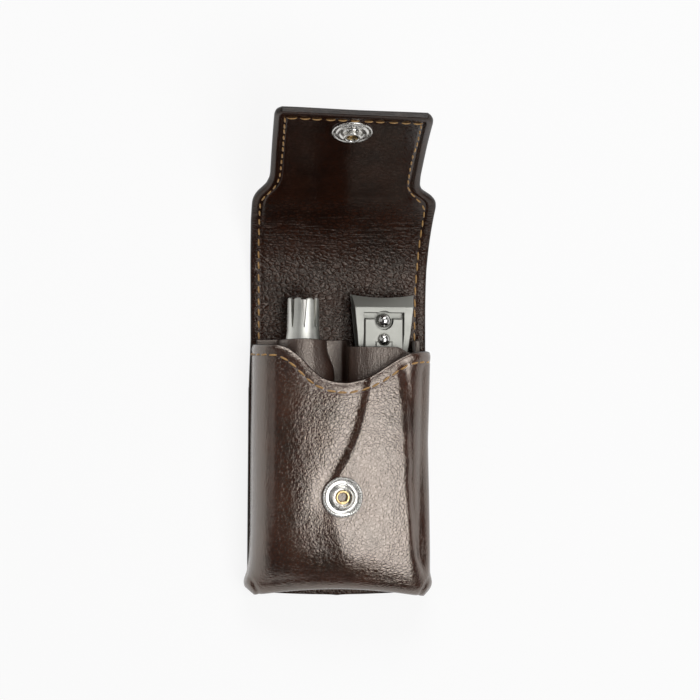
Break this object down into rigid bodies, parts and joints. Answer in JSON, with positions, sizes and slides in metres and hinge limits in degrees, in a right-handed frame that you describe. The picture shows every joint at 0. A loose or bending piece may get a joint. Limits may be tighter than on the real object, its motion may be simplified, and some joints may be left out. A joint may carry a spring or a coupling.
{
  "type": "manicure set case",
  "caption": "Soft leather pouch with a snap flap held open, with a twist trimmer and a toenail clipper in loops behind its curved mouth",
  "frame": {"origin": "on the outer face of the back panel, at the middle of the pouch, where the case lies on a table", "axes": "+X to the right as seen from the front, +Y from the pouch foot to the flap, +Z from the back panel to the moulded front"},
  "size_m": [0.058, 0.147, 0.0597],
  "materials": {
    "leather_outer": "polished smooth dark brown, fine grain",
    "leather_lining": "smooth dark brown, fine grain",
    "leather_strip": "smooth dark brown",
    "snap_plate": "bright nickel",
    "snap_wire": "bright wire",
    "eyelet_brass": "bright brass",
    "trimmer_steel": "satin, lightly turned",
    "blade_steel": "satin",
    "clipper_steel": "bead-blasted satin",
    "polished_steel": "polished"
  },
  "bodies": {
    "case": {"back_outer": "leather_outer", "back_lining": "leather_lining", "front_shell": "leather_outer", "front_lining": "leather_lining", "tool_strip": "leather_strip", "snap_socket": "snap_plate", "snap_spring": "snap_wire", "socket_eyelet": "eyelet_brass"},
    "flap_bridge": {"bridge_outer": "leather_outer", "bridge_lining": "leather_lining"},
    "flap_throat": {"throat_outer": "leather_outer", "throat_lining": "leather_lining"},
    "flap_tab": {"tab_outer": "leather_outer", "tab_lining": "leather_lining", "snap_stud": "snap_plate", "stud_eyelet": "eyelet_brass", "snap_cap": "snap_plate"},
    "trimmer": {"trimmer_tube": "trimmer_steel", "trimmer_spring": "blade_steel"},
    "trimmer_grip": {"trimmer_cutter": "blade_steel", "trimmer_knob": "trimmer_steel", "trimmer_screw": "blade_steel"},
    "clipper": {"clipper_lower_arm": "clipper_steel", "clipper_pin": "polished_steel", "clipper_rivet": "polished_steel"},
    "clipper_top": {"clipper_upper_arm": "clipper_steel", "clipper_lever": "clipper_steel", "clipper_boss": "polished_steel"}
  },
  "joints": [
    {"name": "flap_fold", "type": "hinge", "parent": "case", "child": "flap_bridge", "pos_m": [0, 0.0512, 0.0021], "axis": [1, 0, 0], "range_deg": [0, 76.2]},
    {"name": "throat_fold", "type": "hinge", "parent": "flap_bridge", "child": "flap_throat", "pos_m": [0, 0.06656, 0.00445], "axis": [1, 0, 0], "range_deg": [0, 51.2]},
    {"name": "tab_fold", "type": "hinge", "parent": "flap_throat", "child": "flap_tab", "pos_m": [0, 0.08664, 0.01709], "axis": [1, 0, 0], "range_deg": [-12.9, 0]},
    {"name": "trimmer_slide", "type": "slide", "parent": "case", "child": "trimmer", "axis": [0, 1, 0], "range_m": [-0.0083, 0]},
    {"name": "trimmer_turn", "type": "hinge", "parent": "trimmer", "child": "trimmer_grip", "pos_m": [-0.0117, -0.0106, 0.01], "axis": [0, 1, 0], "continuous": true},
    {"name": "clipper_slide", "type": "slide", "parent": "case", "child": "clipper", "axis": [0, 1, 0], "range_m": [-0.0083, 0]},
    {"name": "clipper_squeeze", "type": "hinge", "parent": "clipper", "child": "clipper_top", "pos_m": [0.0133, -0.0146, 0.0073], "axis": [-0.9976, 0, 0.0698], "range_deg": [0, 1.8], "stiffness_Nm_per_rad": 20}
  ],
  "couplings": [
    {"joint": "throat_fold", "follows": "flap_fold", "ratio": 0.6404},
    {"joint": "tab_fold", "follows": "flap_fold", "ratio": -0.1614},
    {"joint": "trimmer_slide", "follows": "flap_fold", "m_per_rad": -0.00602},
    {"joint": "clipper_slide", "follows": "flap_fold", "m_per_rad": -0.00602}
  ]
}
